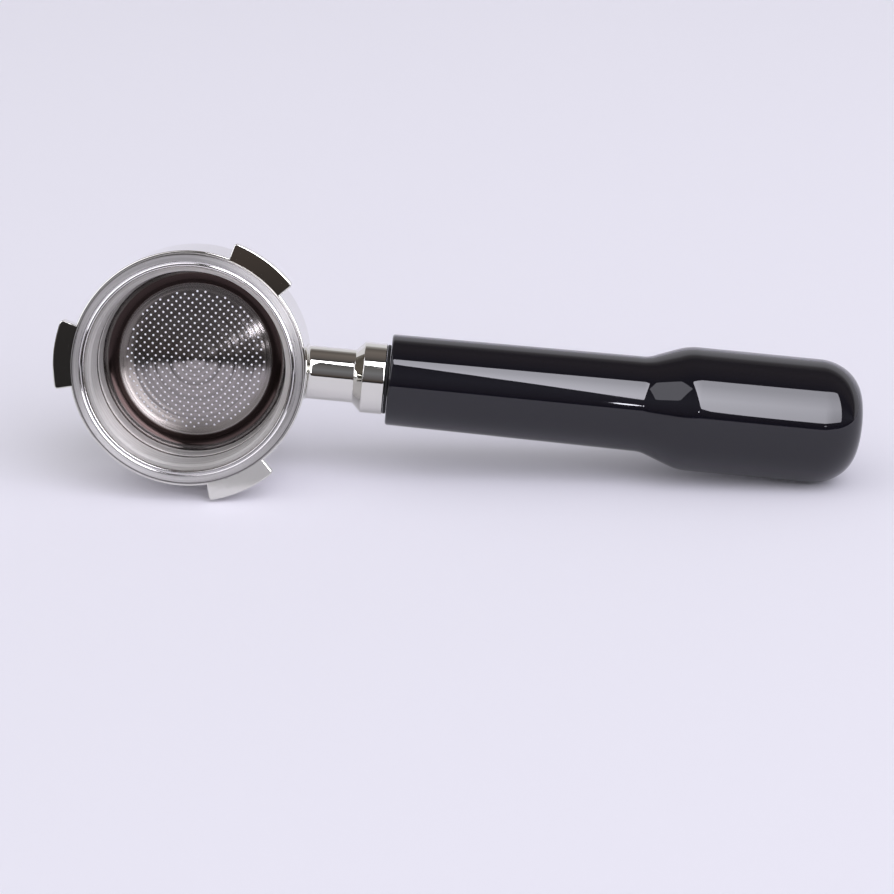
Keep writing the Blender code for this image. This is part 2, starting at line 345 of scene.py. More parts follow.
def moulded_phenolic():
    """Compression-moulded black phenolic, buffed: deep black under a clear gloss with faint flow swell."""
    material, tree, shader, mm = surface("gloss_black_phenolic", ior=1.55)
    shader.inputs["Base Color"].default_value = linear("100F16")
    haze = add(tree, "ShaderNodeTexNoise", {"Vector": mm, "Scale": 0.35, "Detail": 7.0, "Roughness": 0.6})
    rough = add(tree, "ShaderNodeValToRGB", {"Fac": haze.outputs["Fac"]},
                stops=[(0.38, grey(0.015)), (0.72, grey(0.04))])
    tree.links.new(rough.outputs["Color"], shader.inputs["Roughness"])
    swell = add(tree, "ShaderNodeTexNoise", {"Vector": mm, "Scale": 0.05, "Detail": 1.0})
    bump = add(tree, "ShaderNodeBump", {
        "Height": swell.outputs["Fac"], "Strength": 0.12, "Distance": 0.2 * MM,
    })
    tree.links.new(bump.outputs["Normal"], shader.inputs["Normal"])
    return material


def nitrile_rubber():
    """Moulded nitrile rubber: matt black with a fine grain."""
    material, tree, shader, mm = surface("black_nitrile_rubber", roughness=0.55)
    grain = add(tree, "ShaderNodeTexNoise", {"Vector": mm, "Scale": 4.0, "Detail": 4.0})
    tone = add(tree, "ShaderNodeValToRGB", {"Fac": grain.outputs["Fac"]},
               stops=[(0.3, "050506"), (0.8, "0C0C0D")])
    tree.links.new(tone.outputs["Color"], shader.inputs["Base Color"])
    bump = add(tree, "ShaderNodeBump", {
        "Height": grain.outputs["Fac"], "Strength": 0.4, "Distance": 0.05 * MM,
    })
    tree.links.new(bump.outputs["Normal"], shader.inputs["Normal"])
    return material


def machined_metal(name, dark, light, rough_low, rough_high):
    """Turned bar stock: fine tool lines round the handle's axis."""
    material, tree, shader, mm = surface(name, metallic=1.0)
    stretched = add(tree, "ShaderNodeVectorMath", {0: mm, 1: (5.0, 0.25, 0.25)}, operation="MULTIPLY")
    lines = add(tree, "ShaderNodeTexNoise", {"Vector": stretched.outputs[0], "Scale": 1.0, "Detail": 4.0})
    tone = add(tree, "ShaderNodeValToRGB", {"Fac": lines.outputs["Fac"]}, stops=[(0.3, dark), (0.7, light)])
    tree.links.new(tone.outputs["Color"], shader.inputs["Base Color"])
    rough = add(tree, "ShaderNodeValToRGB", {"Fac": lines.outputs["Fac"]},
                stops=[(0.3, grey(rough_low)), (0.7, grey(rough_high))])
    tree.links.new(rough.outputs["Color"], shader.inputs["Roughness"])
    bump = add(tree, "ShaderNodeBump", {
        "Height": lines.outputs["Fac"], "Strength": 0.25, "Distance": 0.02 * MM,
    })
    tree.links.new(bump.outputs["Normal"], shader.inputs["Normal"])
    return material


def lathe_directions(tree):
    """In object space: the face's own direction, and the way across the grooves, out along the flat faces."""
    where = add(tree, "ShaderNodeTexCoord").outputs
    out = add(tree, "ShaderNodeVectorMath", {0: where["Object"], 1: PLACE.translation}, operation="SUBTRACT")
    round_it = add(tree, "ShaderNodeVectorMath",
                   {0: PLACE.col[2].xyz, 1: out.outputs[0]}, operation="CROSS_PRODUCT")
    across = add(tree, "ShaderNodeVectorMath",
                 {0: round_it.outputs[0], 1: where["Normal"]}, operation="CROSS_PRODUCT")
    unit = add(tree, "ShaderNodeVectorMath", {0: across.outputs[0]}, operation="NORMALIZE")
    return where["Normal"], unit.outputs[0]


def in_scene(tree, direction, kind):
    """An object-space direction in the scene, so that it follows the piece when the piece turns."""
    return add(tree, "ShaderNodeVectorTransform", {"Vector": direction},
               vector_type=kind, convert_from="OBJECT", convert_to="WORLD").outputs["Vector"]


def spun_stainless():
    """Deep-drawn 304 stainless, finished on the lathe: light spreads across its fine grooves, satin on the
    flange and the wall, polished at the lip and the foot, and the corner round the screen is painted
    brown-black as painted shade, for the dark reflection it shows."""
    material, tree, shader, mm = surface("spun_stainless", metallic=1.0, anisotropic=0.8)
    face, across = lathe_directions(tree)
    tree.links.new(in_scene(tree, across, "VECTOR"), shader.inputs["Tangent"])
    flange_span = 32.0
    cup_depth = 24.0
    height = add(tree, "ShaderNodeSeparateXYZ", {"Vector": mm}).outputs["Z"]
    flat = add(tree, "ShaderNodeVectorMath", {0: mm, 1: (1.0, 1.0, 0.0)}, operation="MULTIPLY")
    radius = add(tree, "ShaderNodeVectorMath", {0: flat.outputs[0]}, operation="LENGTH").outputs["Value"]
    by_radius = add(tree, "ShaderNodeMath", {0: radius, 1: flange_span}, operation="DIVIDE").outputs[0]
    by_depth = add(tree, "ShaderNodeMath", {0: height, 1: -cup_depth}, operation="DIVIDE").outputs[0]
    on_wall = add(tree, "ShaderNodeMath", {0: height, 1: -0.7}, operation="LESS_THAN").outputs[0]
    on_screen = add(tree, "ShaderNodeMath", {0: height, 1: -23.3}, operation="LESS_THAN").outputs[0]

    def zones(on_flange, down_wall, over_screen):
        """One value from stops (mm, value): by radius on flange and screen, by depth on the wall."""
        chosen = None
        for fac, span, stops, mask in ((by_radius, flange_span, on_flange, None),
                                       (by_depth, cup_depth, down_wall, on_wall),
                                       (by_radius, flange_span, over_screen, on_screen)):
            ramp = add(tree, "ShaderNodeValToRGB", {"Fac": fac}, stops=[(at / span, v) for at, v in stops])
            if mask is None:
                chosen = ramp.outputs["Color"]
                continue
            mixed = add(tree, "ShaderNodeMix", {"Factor": mask}, data_type="RGBA")
            tree.links.new(chosen, mixed.inputs["A"])
            tree.links.new(ramp.outputs["Color"], mixed.inputs["B"])
            chosen = mixed.outputs["Result"]
        return chosen

    # grooves follow the radius and the depth, and hardly change round the axis
    drift = add(tree, "ShaderNodeVectorMath", {0: mm, 1: (0.02, 0.02, 0.02)}, operation="MULTIPLY")
    grain_at = add(tree, "ShaderNodeCombineXYZ", {"X": radius, "Y": height, "Z": 0.0})
    grain = add(tree, "ShaderNodeVectorMath", {0: grain_at.outputs[0], 1: drift.outputs[0]}, operation="ADD")
    fine = add(tree, "ShaderNodeTexNoise", {
        "Vector": grain.outputs[0], "Scale": 4.0, "Detail": 4.0, "Roughness": 0.7,
    })
    coarse = add(tree, "ShaderNodeTexNoise", {
        "Vector": grain.outputs[0], "Scale": 1.3, "Detail": 2.0, "Roughness": 0.6,
    })

    rough = zones(
        [(26.9, grey(0.30)), (27.3, grey(0.12)), (28.3, grey(0.12)), (28.7, grey(0.30))],
        [(0.9, grey(0.30)), (3.0, grey(0.38)), (12.3, grey(0.38)), (12.9, grey(0.14)), (15.0, grey(0.14)),
         (15.6, grey(0.26)), (20.2, grey(0.22)), (20.7, grey(0.12)), (23.2, grey(0.16))],
        [(0.0, grey(0.12)), (20.6, grey(0.12)), (20.9, grey(0.22))])
    streaks = add(tree, "ShaderNodeMapRange", {
        "Value": fine.outputs["Fac"], "From Min": 0.3, "From Max": 0.7, "To Min": 0.85, "To Max": 1.15,
    })
    rough_grain = add(tree, "ShaderNodeMath", {0: rough, 1: streaks.outputs[0]}, operation="MULTIPLY")
    tree.links.new(rough_grain.outputs[0], shader.inputs["Roughness"])

    # satin stretches scatter some light, which a share of plain grey under the metal stands for
    solid = zones(
        [(27.0, grey(0.92)), (27.3, grey(1.0)), (28.4, grey(1.0)), (28.8, grey(0.92))],
        [(1.0, grey(0.8)), (3.0, grey(0.55)), (12.3, grey(0.55)), (12.9, grey(1.0)), (14.8, grey(0.9)),
         (15.8, grey(0.45)), (20.2, grey(0.45)), (21.2, grey(1.0))],
        [(0.0, grey(0.95)), (20.6, grey(0.95)), (20.9, grey(1.0))])
    tree.links.new(solid, shader.inputs["Metallic"])
    satin = linear("DAD8D5")
    bright = linear("DDDBD8")
    # painted shade: the brown-black colour in the corner round the screen stands for the dark reflection the
    # corner shows
    painted_dark_corner = linear("3A302E")
    # painted shade: the flange's outer edge is coloured darker for the dark line that the ring's face and the
    # gap show beside it
    edge_shade = linear("5C5856")
    screen_grey = linear("9C9794")
    tone = zones(
        [(27.0, satin), (27.3, bright), (28.4, bright), (28.7, satin), (30.1, satin), (30.3, edge_shade)],
        [(1.0, satin), (12.3, satin), (12.9, bright), (21.4, bright), (23.0, painted_dark_corner)],
        [(0.0, screen_grey), (20.7, screen_grey), (21.0, painted_dark_corner), (30.0, painted_dark_corner)])
    shade = add(tree, "ShaderNodeMapRange", {
        "Value": coarse.outputs["Fac"], "From Min": 0.3, "From Max": 0.7, "To Min": 0.72, "To Max": 1.14,
    })
    grained = add(tree, "ShaderNodeVectorMath", {0: tone, "Scale": shade.outputs[0]}, operation="SCALE")
    tree.links.new(grained.outputs[0], shader.inputs["Base Color"])

    # the turning tool left each groove's outer flank the longer, so the screen shines like a very flat cone
    lean = zones([(0.0, grey(0.0)), (1.0, grey(0.0))], [(0.0, grey(0.0)), (1.0, grey(0.0))],
                 [(0.0, grey(0.07)), (20.6, grey(0.13)), (20.7, grey(0.0)), (32.0, grey(0.0))])
    depth = zones(
        [(0.0, grey(0.12)), (27.2, grey(0.12)), (27.4, grey(0.0)), (28.3, grey(0.0)), (28.5, grey(0.16))],
        [(0.0, grey(0.05)), (12.3, grey(0.06)), (12.9, grey(0.02)), (23.0, grey(0.02))],
        [(0.0, grey(0.24)), (20.6, grey(0.24)), (20.7, grey(0.02)), (32.0, grey(0.02))])
    swing = add(tree, "ShaderNodeMath", {0: coarse.outputs["Fac"], 1: 0.5}, operation="SUBTRACT")
    slope = add(tree, "ShaderNodeMath", {0: swing.outputs[0], 1: depth, 2: lean}, operation="MULTIPLY_ADD")
    leaning = add(tree, "ShaderNodeVectorMath", {0: across, "Scale": slope.outputs[0]}, operation="SCALE")
    tilted = add(tree, "ShaderNodeVectorMath", {0: face, 1: leaning.outputs[0]}, operation="ADD")
    flank = add(tree, "ShaderNodeVectorMath",
                {0: in_scene(tree, tilted.outputs[0], "NORMAL")}, operation="NORMALIZE")
    tree.links.new(flank.outputs[0], shader.inputs["Normal"])
    return material


# ---------------------------------------------------------------- holder

def ring_outline():
    top = RIM_TOP
    bottom = -RING_DEPTH
    groove_top = -GROOVE_DEPTH + GROOVE_WIDTH / 2
    groove_bottom = -GROOVE_DEPTH - GROOVE_WIDTH / 2
    return softened([
        (BORE_R, top, 0.5), (BORE_R, groove_top, 0.15), (GROOVE_R, groove_top, 0.2),
        (GROOVE_R, groove_bottom, 0.2), (BORE_R, groove_bottom, 0.15), (BORE_R, bottom, 0.7),
        (RIM_R, bottom, 1.0), (RIM_R, top, 0.4),
    ])


def lug_path(inset):
    """A lug's outline seen along the axis, drawn in by inset: points (angle from its middle, radius)."""
    corner = 0.9 - inset
    half = math.radians(LUG_HALF_ANGLE)
    outer = LUG_R - inset
    inner = BORE_R + 2.0
    wall = half - inset / LUG_R
    turn = corner / outer
    points = []
    for share in np.linspace(0, 1, 4):
        points.append((wall, inner + (outer - corner - inner) * share))
    for angle in np.radians(np.linspace(0, 90, 6)[1:]):
        points.append((wall - turn * (1 - math.cos(angle)), outer - corner * (1 - math.sin(angle))))
    arc_end = wall - turn
    points += [(a, outer) for a in np.linspace(arc_end, -arc_end, 26)[1:-1]]
    mirrored = [(-a, r) for a, r in points[:9]]
    points += mirrored[::-1]
    points += [(a, inner) for a in np.linspace(-wall, wall, 18)[1:-1]]
    return points


def lug(middle):
    """One bayonet lug with rounded edges. Its leading end is thinner, so that it finds its way in."""
    edge = 0.35
    loops = []

    def level(inset, lift, at_top):
        loop = []
        for angle, r in lug_path(inset):
            lead = max(0.0, (angle / math.radians(LUG_HALF_ANGLE) - 0.1) / 0.9)
            underside = RIM_TOP - LUG_THICKNESS + LUG_LEAD * lead
            height = (RIM_TOP - lift) if at_top else (underside + lift)
            around = math.radians(middle) + angle
            loop.append((r * math.cos(around), r * math.sin(around), height))
        return loop

    steps = [math.radians(a) for a in (90, 67, 45, 22, 0)]
    for a in steps:
        loops.append(level(edge * (1 - math.cos(a)), edge * (1 - math.sin(a)), False))
    for a in steps[::-1]:
        loops.append(level(edge * (1 - math.cos(a)), edge * (1 - math.sin(a)), True))
    bm = lofted(loops)
    for loop in (0, -1):
        count = len(loops[0])
        bm.verts.ensure_lookup_table()
        start = 0 if loop == 0 else len(bm.verts) - count
        bm.faces.new(bm.verts[start:start + count])
    bmesh.ops.recalc_face_normals(bm, faces=bm.faces)
    return bm


def make_ring(chrome):
    socket_r = SPIGOT_R + GAP
    beyond = RIM_R + 4
    floor = SPIGOT_START - GAP
    socket = turned([(0, floor), (socket_r, floor), (socket_r, beyond), (0, beyond)], 64)
    socket.transform(ON_HANDLE)
    changes = [(lug(middle), "UNION") for middle in LUG_ANGLES] + [(socket, "DIFFERENCE")]
    piece = joined_solid("ring_chromed", turned(ring_outline(), 240), changes, chrome)
    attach(piece, "holder")
    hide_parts("holder_ring")


def ring_surface(across, down):
    """How far out along X the ring's outside lies, across the handle and at a height."""
    below = max(0.0, -(RING_DEPTH - 1.0) - down)
    radius = RIM_R - 1.0 + math.sqrt(max(0.0, 1.0 - min(1.0, below) ** 2))
    return math.sqrt(radius ** 2 - across ** 2)


def make_neck(chrome):
    """The turned neck: it flares into the ring, and its shoulder and collar end against the washer."""
    fillet = 0.9
    facets = 144
    angles = np.linspace(0, math.tau, facets, endpoint=False)
    loops = [[(SPIGOT_START, 0.0, -HANDLE_DEPTH)]]

    def loop(radius, x_at):
        made = []
        for a in angles:
            across = radius * math.cos(a)
            down = -HANDLE_DEPTH + radius * math.sin(a)
            made.append((x_at(across, down), across, down))
        return made

    loops.append(loop(SPIGOT_R, lambda y, z: SPIGOT_START))
    loops.append(loop(SPIGOT_R, lambda y, z: 30.0))
    loops.append(loop(NECK_R + fillet, lambda y, z: ring_surface(y, z) - 0.25))
    for angle in np.radians(np.linspace(0, 90, 8)):
        radius = NECK_R + fillet - fillet * math.sin(angle)
        ahead = fillet * (1 - math.cos(angle))
        loops.append(loop(radius, lambda y, z: ring_surface(y, z) + ahead))
    cone_end = SHOULDER_START + COLLAR_R - NECK_R
    bore = STUD_R + GAP
    outline = softened([
        (NECK_R, 34.0, 0), (NECK_R, SHOULDER_START, 0.5), (COLLAR_R, cone_end, 0.45),
        (COLLAR_R, COLLAR_END, 0.4), (bore, COLLAR_END, 0.3), (bore, STUD_START - GAP, 0),
        (0, STUD_START - GAP, 0),
    ])
    for radius, x in outline[:-1]:
        loops.append(loop(radius, lambda y, z: x))
    loops.append([(STUD_START - GAP, 0.0, -HANDLE_DEPTH)])
    piece = finished("neck_chromed", lofted(loops), chrome)
    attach(piece, "holder")
    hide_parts("holder_neck")


def on_handle(name, outline, facets, material, sharp=32.0):
    return finished(name, turned(outline, facets), material, sharp, ON_HANDLE)


def make_washer(rubber):
    start = COLLAR_END + 0.05
    end = GRIP_START - 0.05
    hole = STUD_R + GAP
    outline = softened([(hole, start, 0.1), (WASHER_R, start, 0.3), (WASHER_R, end, 0.3), (hole, end, 0.1)])
    piece = on_handle("washer_rubber", outline, 144, rubber)
    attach(piece, "holder")
    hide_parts("handle_washer")


def grip_outline():
    bore = INSERT_R + GAP
    edge_x = GRIP_START + GRIP_EDGE
    outline = [(0, INSERT_END + GAP), (bore, INSERT_END + GAP)]
    outline += [(bore, GRIP_START + 0.1), (bore + 0.1, GRIP_START)]
    outline += [(GRIP_FRONT_R - GRIP_EDGE - 0.3, GRIP_START)]
    outline += arc((GRIP_FRONT_R - GRIP_EDGE, edge_x), GRIP_EDGE, -90, 0, 8)
    outline += [(GRIP_FRONT_R + 0.003, edge_x + 0.3)]
    for share in np.linspace(0, 1, 25)[1:-1]:
        outline.append((GRIP_FRONT_R + (GRIP_WAIST_R - GRIP_FRONT_R) * share,
                        edge_x + (FLARE_START - edge_x) * share))
    outline += flare((GRIP_WAIST_R, FLARE_START), (GRIP_R, FLARE_END), 16)
    corner_r = GRIP_R - GRIP_CORNER_DEEP
    corner_x = GRIP_END - GRIP_DOME - GRIP_CORNER_LONG
    outline += [(GRIP_R, x) for x in np.linspace(FLARE_END, corner_x, 14)[1:-1]]
    for angle in np.radians(np.linspace(0, 86, 36)):
        outline.append((corner_r + GRIP_CORNER_DEEP * math.cos(angle),
                        corner_x + GRIP_CORNER_LONG * math.sin(angle)))
    last_r, last_x = outline[-1]
    for share in np.linspace(1, 0, 14)[1:-1]:
        outline.append((last_r * share, GRIP_END - (GRIP_END - last_x) * share * share))
    outline.append((0, GRIP_END))
    return outline


def make_grip(black):
    piece = on_handle("grip_moulded", grip_outline(), 192, black, sharp=50)
    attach(piece, "holder")
    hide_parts("handle_grip")


def make_stud(steel):
    """The stud, with its rolled M10 thread."""
    pitch = 1.5
    depth = 0.92
    facets = 36
    chamfer = 0.8
    angles = np.linspace(0, math.tau, facets, endpoint=False)
    loops = [[(STUD_START, 0.0, -HANDLE_DEPTH)]]
    for x in np.arange(STUD_START, STUD_END + 0.01, pitch / 6):
        end_cut = max(0.0, chamfer - min(x - STUD_START, STUD_END - x))
        loop = []
        for a in angles:
            turn = (x / pitch - a / math.tau) % 1.0
            valley = depth * abs(2 * turn - 1)
            radius = min(STUD_R - valley, STUD_R - end_cut)
            loop.append((x, radius * math.cos(a), -HANDLE_DEPTH + radius * math.sin(a)))
        loops.append(loop)
    loops.append([(STUD_END, 0.0, -HANDLE_DEPTH)])
    piece = finished("stud_threaded", lofted(loops), steel, sharp=60)
    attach(piece, "holder")
    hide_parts("handle_stud")


def make_insert(brass):
    """The moulded-in nut, knurled outside so that it can't turn in the grip."""
    bore = STUD_R + GAP
    teeth = 44
    angles = np.linspace(0, math.tau, teeth * 4, endpoint=False)
    length = INSERT_END - INSERT_START
    stations = [(bore, INSERT_START, 0), (INSERT_R - 0.4, INSERT_START, 0), (INSERT_R, INSERT_START + 0.4, 1)]
    for share in (0.30, 0.62):
        middle = INSERT_START + share * length
        stations += [(INSERT_R, middle - 1.5, 1), (INSERT_R - 0.8, middle - 1.0, 0)]
        stations += [(INSERT_R - 0.8, middle + 1.0, 0), (INSERT_R, middle + 1.5, 1)]
    stations += [(INSERT_R, INSERT_END - 0.4, 1), (INSERT_R - 0.4, INSERT_END, 0), (bore, INSERT_END, 0)]
    loops = []
    for radius, x, knurled in stations:
        loop = []
        for number, a in enumerate(angles):
            r = radius - (0.28 if knurled and number % 4 in (0, 1) else 0.0)
            loop.append((x, r * math.cos(a), -HANDLE_DEPTH + r * math.sin(a)))
        loops.append(loop)
    piece = finished("insert_knurled", lofted(loops, ring=True), brass, sharp=30)
    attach(piece, "holder")
    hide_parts("handle_insert")


# ---------------------------------------------------------------- spring and basket

def make_spring(steel):
    """The open ring of spring wire, with rounded ends."""
    sides = 20
    steps = 200
    start = math.radians(90 + WIRE_GAP / 2)
    sweep = math.radians(360 - WIRE_GAP)
    cap = WIRE_R / WIRE_RING_R
    stations = [(start + cap * (1 - math.cos(b)), math.sin(b)) for b in np.radians([12, 30, 50, 70])]
    stations += [(a, 1.0) for a in np.linspace(start + cap, start + sweep - cap, steps)]
    stations += [(start + sweep - cap * (1 - math.cos(b)), math.sin(b)) for b in np.radians([70, 50, 30, 12])]

    def point(angle, out, up):
        r = WIRE_RING_R + out
        return (r * math.cos(angle), r * math.sin(angle), -GROOVE_DEPTH + up)

    loops = [[point(start, 0, 0)]]
    for angle, share in stations:
        around = np.linspace(0, math.tau, sides, endpoint=False)
        section = WIRE_R * share
        loops.append([point(angle, section * math.cos(b), section * math.sin(b)) for b in around])
    loops.append([point(start + sweep, 0, 0)])
    piece = finished("spring_wire", lofted(loops), steel)
    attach(piece, "spring")
    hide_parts("basket_spring")


def basket_inside():
    """The inside of the pressed basket from the flange's edge to the middle of the screen."""
    points = softened([
        (FLANGE_R, -FLANGE_THICKNESS, 0.15), (FLANGE_R, 0.0, 0.3),
        (FLANGE_LINE_R + 0.3, 0.0, 0.08), (FLANGE_LINE_R, -0.14, 0.1), (FLANGE_LINE_R - 0.3, 0.0, 0.1),
        (MOUTH_R, 0.0, 0.3), (MOUTH_R - 0.3, -0.75, 0.3), (WALL_R + 0.25, -3.2, 1.2), (WALL_R, -6.5, 2.0),
        (WALL_R - 0.05, -BEAD_DEPTH + 0.9, 0.15), (WALL_R + 0.25, -BEAD_DEPTH, 0.25),
        (WALL_R - 0.15, -BEAD_DEPTH - 0.8, 0.15), (FOOT_R + 0.1, -SCREEN_DEPTH + 3.2, 0.1),
        (FOOT_R - 0.05, -SCREEN_DEPTH + CORNER_R, 0),
    ])[6:-1]
    corner = arc((FOOT_R - CORNER_R, -SCREEN_DEPTH + CORNER_R), CORNER_R, 0, -90, 14)
    # a thin line pressed round the screen, as (out from the line, up from the screen)
    line = [(0.4, 0.0), (0.15, 0.02), (0.0, 0.09), (-0.15, 0.09), (-0.4, 0.08), (-0.8, 0.08)]
    return points + corner + [(SCREEN_LINE_R + out, -SCREEN_DEPTH + up) for out, up in line]


def basket_outline():
    """The inside, and the outside one sheet thickness away."""
    inside = basket_inside()
    cup = [p for p in inside if p[1] < -0.5 or p[0] < 27.2]
    outside = []
    for before, here, after in zip(cup, cup[1:], cup[2:]):
        along = Vector((after[0] - before[0], after[1] - before[1])).normalized()
        outside.append((here[0] - along.y * SHEET, here[1] + along.x * SHEET))
    outside = [p for p in outside if p[1] < -FLANGE_THICKNESS - 0.35]
    under = [(outside[0][0] + 0.12, -FLANGE_THICKNESS - 0.1), (outside[0][0] + 0.3, -FLANGE_THICKNESS)]
    under += [(FLANGE_R - 0.5, -FLANGE_THICKNESS)]
    flat = inside[-1]
    ends = [(0.0, flat[1]), (0.0, -SCREEN_DEPTH - SHEET), (flat[0], -SCREEN_DEPTH - SHEET)]
    return inside + ends + outside[::-1] + under


def perforating(material):
    """Geometry Nodes that punch a square field of round holes through the screen."""
    tree = bpy.data.node_groups.new("perforating", "GeometryNodeTree")
    face = tree.interface
    face.new_socket("Basket", in_out="INPUT", socket_type="NodeSocketGeometry")
    sizes = {"Pitch": HOLE_PITCH * MM, "Hole radius": HOLE_R * MM, "Field radius": FIELD_R * MM}
    keys = {}
    for label, value in sizes.items():
        socket = face.new_socket(label, in_out="INPUT", socket_type="NodeSocketFloat")
        keys[socket.identifier] = value
    face.new_socket("Screen centre", in_out="INPUT", socket_type="NodeSocketVector")
    face.new_socket("Turned to", in_out="INPUT", socket_type="NodeSocketRotation")
    face.new_socket("Perforated", in_out="OUTPUT", socket_type="NodeSocketGeometry")
    given = add(tree, "NodeGroupInput").outputs
    count = 2 * math.ceil(FIELD_R / HOLE_PITCH * math.sqrt(2) / 2) + 9
    width = add(tree, "ShaderNodeMath", {0: given["Pitch"], 1: count - 1.0}, operation="MULTIPLY").outputs[0]
    field = add(tree, "GeometryNodeMeshGrid",
                {"Size X": width, "Size Y": width, "Vertices X": count, "Vertices Y": count})
    place = add(tree, "GeometryNodeInputPosition").outputs[0]
    out = add(tree, "ShaderNodeVectorMath", {0: place}, operation="LENGTH").outputs["Value"]
    outside = add(tree, "FunctionNodeCompare", {0: out, 1: given["Field radius"]}, operation="GREATER_THAN")
    kept = add(tree, "GeometryNodeDeleteGeometry",
               {"Geometry": field.outputs["Mesh"], "Selection": outside.outputs[0]}, domain="POINT")
    slant = add(tree, "GeometryNodeTransform",
                {"Geometry": kept.outputs[0], "Rotation": (0.0, 0.0, math.radians(45))})
    punch = add(tree, "GeometryNodeMeshCylinder",
                {"Vertices": 10, "Radius": given["Hole radius"], "Depth": 6 * SHEET * MM})
    punches = add(tree, "GeometryNodeInstanceOnPoints",
                  {"Points": slant.outputs[0], "Instance": punch.outputs["Mesh"]})
    set_down = add(tree, "GeometryNodeTransform",
                   {"Geometry": punches.outputs[0], "Translation": given["Screen centre"],
                    "Rotation": given["Turned to"]})
    tools = add(tree, "GeometryNodeRealizeInstances", {"Geometry": set_down.outputs[0]})
    cut = add(tree, "GeometryNodeMeshBoolean",
              {"Mesh 1": given["Basket"], "Mesh 2": tools.outputs[0]}, operation="DIFFERENCE", solver="EXACT")
    whole = add(tree, "GeometryNodeRealizeInstances", {"Geometry": cut.outputs["Mesh"]})
    coated = add(tree, "GeometryNodeSetMaterial", {"Geometry": whole.outputs[0], "Material": material})
    add(tree, "NodeGroupOutput", {"Perforated": coated.outputs[0]})
    return tree, keys


def make_basket(steel):
    piece = finished("basket_pressed", turned(basket_outline(), 240), steel, sharp=38)
    tree, keys = perforating(steel)
    modifier = piece.modifiers.new("perforating", "NODES")
    modifier.node_group = tree
    for identifier, value in keys.items():
        modifier[identifier] = value
    sockets = {item.name: item.identifier for item in tree.interface.items_tree if item.in_out == "INPUT"}
    modifier[sockets["Screen centre"]] = TO_ROW @ Vector((0, 0, -SCREEN_DEPTH))
    modifier[sockets["Turned to"]] = PLACE.to_euler("XYZ")
    settled(piece, 38)
    keep_flats_flat(piece)
    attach(piece, "basket")
    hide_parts("filter_basket")


# ---------------------------------------------------------------- studio

def staged(name, points, faces, material, smooth=False):
    mesh = bpy.data.meshes.new(name)
    mesh.from_pydata(points, [], faces)
    mesh.materials.append(material)
    if smooth:
        mesh.shade_smooth()
    thing = bpy.data.objects.new(name, mesh)
    bpy.context.scene.collection.objects.link(thing)
    return thing


def make_floor():
    """A seamless pale sheet: level under the part, swept up behind it, turned up at its front edge."""
    material = bpy.data.materials.new("backdrop_paper")
    material.use_nodes = True
    shader = material.node_tree.nodes["Principled BSDF"]
    shader.inputs["Base Color"].default_value = linear("F1EFF9")
    shader.inputs["Roughness"].default_value = 0.9
    shader.inputs["Specular IOR Level"].default_value = 0.0
    bend = 0.8
    start = 3.2
    profile = [(-6.1, 0.13), (-6.0, 0.0), (-2.0, 0.0), (start, 0.0)]
    for angle in np.radians(np.linspace(0, 90, 25)[1:]):
        profile.append((start + bend * math.sin(angle), bend * (1 - math.cos(angle))))
    profile.append((start + bend, 1.3))
    points = [(x, y, z) for y, z in profile for x in (-5.0, 5.0)]
    faces = [(2 * i, 2 * i + 1, 2 * i + 3, 2 * i + 2) for i in range(len(profile) - 1)]
    staged("backdrop", points, faces, material, smooth=True)


def glowing(name, colour, strength, across=(1.0,), upwards=(1.0,)):
    """A lamp cloth: its strength times a run of factors from left to right and another from bottom to top."""
    material = bpy.data.materials.new(name)
    material.use_nodes = True
    tree = material.node_tree
    tree.nodes.clear()
    where = add(tree, "ShaderNodeUVMap", uv_map="cloth")
    parts = add(tree, "ShaderNodeSeparateXYZ", {"Vector": where.outputs["UV"]})
    level = None
    for axis, factors in (("X", across), ("Y", upwards)):
        stops = [(i / max(1, len(factors) - 1), grey(f / 2)) for i, f in enumerate(factors)]
        if len(stops) < 2:
            stops = stops + [(1.0, stops[0][1])]
        ramp = add(tree, "ShaderNodeValToRGB", {"Fac": parts.outputs[axis]}, stops=stops)
        scaled = add(tree, "ShaderNodeMath", {0: ramp.outputs["Color"], 1: 2.0}, operation="MULTIPLY")
        if level is None:
            level = scaled.outputs[0]
        else:
            both = add(tree, "ShaderNodeMath", {0: level, 1: scaled.outputs[0]}, operation="MULTIPLY")
            level = both.outputs[0]
    power = add(tree, "ShaderNodeMath", {0: level, 1: strength}, operation="MULTIPLY")
    light = add(tree, "ShaderNodeEmission", {"Color": colour, "Strength": power.outputs[0]})
    add(tree, "ShaderNodeOutputMaterial", {"Surface": light.outputs[0]})
    return material


def rounded_square(rounding, steps=6):
    """A unit square's outline with rounded corners, as (across, up) from 0 to 1."""
    points = []
    for corner, (u, v) in enumerate(((1, 1), (0, 1), (0, 0), (1, 0))):
        centre = (abs(u - rounding), abs(v - rounding))
        points += arc(centre, rounding, 90 * corner, 90 * corner + 90, steps)
    return points


def lamp(name, corners, material, rounding=0.12, diffuse=False, glossy=True):
    """A lamp cloth between four corners, anticlockwise from the lower left, unseen by the camera."""
    low_left, low_right, up_right, up_left = [Vector(c) for c in corners]
    outline = rounded_square(rounding)
    rings = 6
    spots = [(0.5, 0.5)]
    for ring in range(1, rings + 1):
        spots += [(0.5 + (u - 0.5) * ring / rings, 0.5 + (v - 0.5) * ring / rings) for u, v in outline]
    points = []
    for u, v in spots:
        points.append(low_left.lerp(low_right, u).lerp(up_left.lerp(up_right, u), v))
    count = len(outline)
    faces = [(0, 1 + i, 1 + (i + 1) % count) for i in range(count)]
    for ring in range(rings - 1):
        a = 1 + ring * count
        for i in range(count):
            j = (i + 1) % count
            faces.append((a + i, a + count + i, a + count + j, a + j))
    cloth = staged(name, points, faces, material)
    layer = cloth.data.uv_layers.new(name="cloth")
    for loop in cloth.data.loops:
        layer.data[loop.index].uv = spots[loop.vertex_index]
    cloth.visible_camera = False
    cloth.visible_shadow = False
    cloth.visible_diffuse = diffuse
    cloth.visible_glossy = glossy


